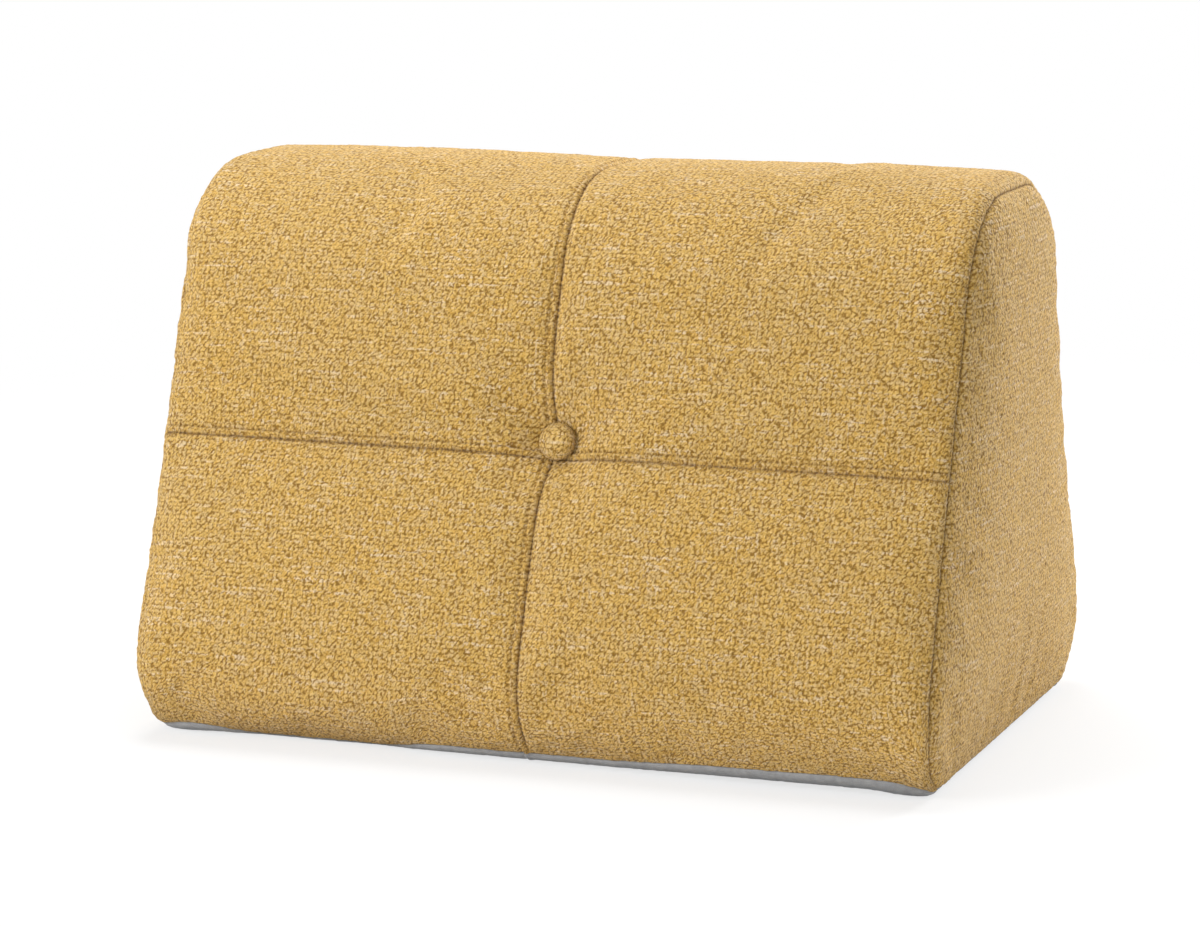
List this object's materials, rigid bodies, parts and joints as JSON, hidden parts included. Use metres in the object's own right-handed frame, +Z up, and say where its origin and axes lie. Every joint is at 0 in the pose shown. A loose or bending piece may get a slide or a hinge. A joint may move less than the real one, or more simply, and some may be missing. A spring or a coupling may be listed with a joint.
{
  "type": "back cushion",
  "caption": "Free-standing wedge-shaped back cushion with a quartered, button-tufted woven cover, rounded ridge, flat base cloth and a zip across the back.",
  "frame": {"origin": "on the floor, under the middle of the cushion", "axes": "+X across the cushion to a viewer's right in front of it, -Y out of the front slope, +Z up"},
  "size_m": [0.708, 0.4974, 0.478],
  "materials": {
    "cover_fabric": "matte",
    "base_cloth": "matte",
    "lining": "matte",
    "wadding": "matte",
    "foam": "matte",
    "twine": "matte",
    "bare_metal": "satin",
    "zip_tape": "matte",
    "zip_coil": "satin",
    "zip_metal": "satin"
  },
  "bodies": {
    "cushion": {"back_button_back": "bare_metal", "back_button_fabric": "cover_fabric", "back_button_shell": "bare_metal", "back_foot_strip": "cover_fabric", "back_lower_panel_left": "cover_fabric", "back_lower_panel_right": "cover_fabric", "base_panel": "base_cloth", "foam_core": "foam", "front_button_back": "bare_metal", "front_button_fabric": "cover_fabric", "front_button_shell": "bare_metal", "front_lower_panel_left": "cover_fabric", "front_lower_panel_right": "cover_fabric", "inner_lining": "lining", "side_panel_left": "cover_fabric", "side_panel_right": "cover_fabric", "tufting_twine": "twine", "upper_panel_left": "cover_fabric", "upper_panel_right": "cover_fabric", "wadding_wrap": "wadding", "zip_coil_lower": "zip_coil", "zip_coil_upper": "zip_coil", "zip_stops": "zip_metal", "zip_tape_lower": "zip_tape", "zip_tape_upper": "zip_tape"},
    "zip_slider": {"zip_slider": "zip_metal"},
    "zip_pull": {"zip_pull": "zip_metal"}
  },
  "joints": [
    {"name": "zip_travel", "type": "slide", "parent": "cushion", "child": "zip_slider", "axis": [-1, 0, 0], "range_m": [0, 0.542]},
    {"name": "pull_swing", "type": "hinge", "parent": "zip_slider", "child": "zip_pull", "pos_m": [0.2712, 0.24105, 0.1126], "axis": [0, 0.3174, -0.9483], "range_deg": [0, 180]}
  ]
}
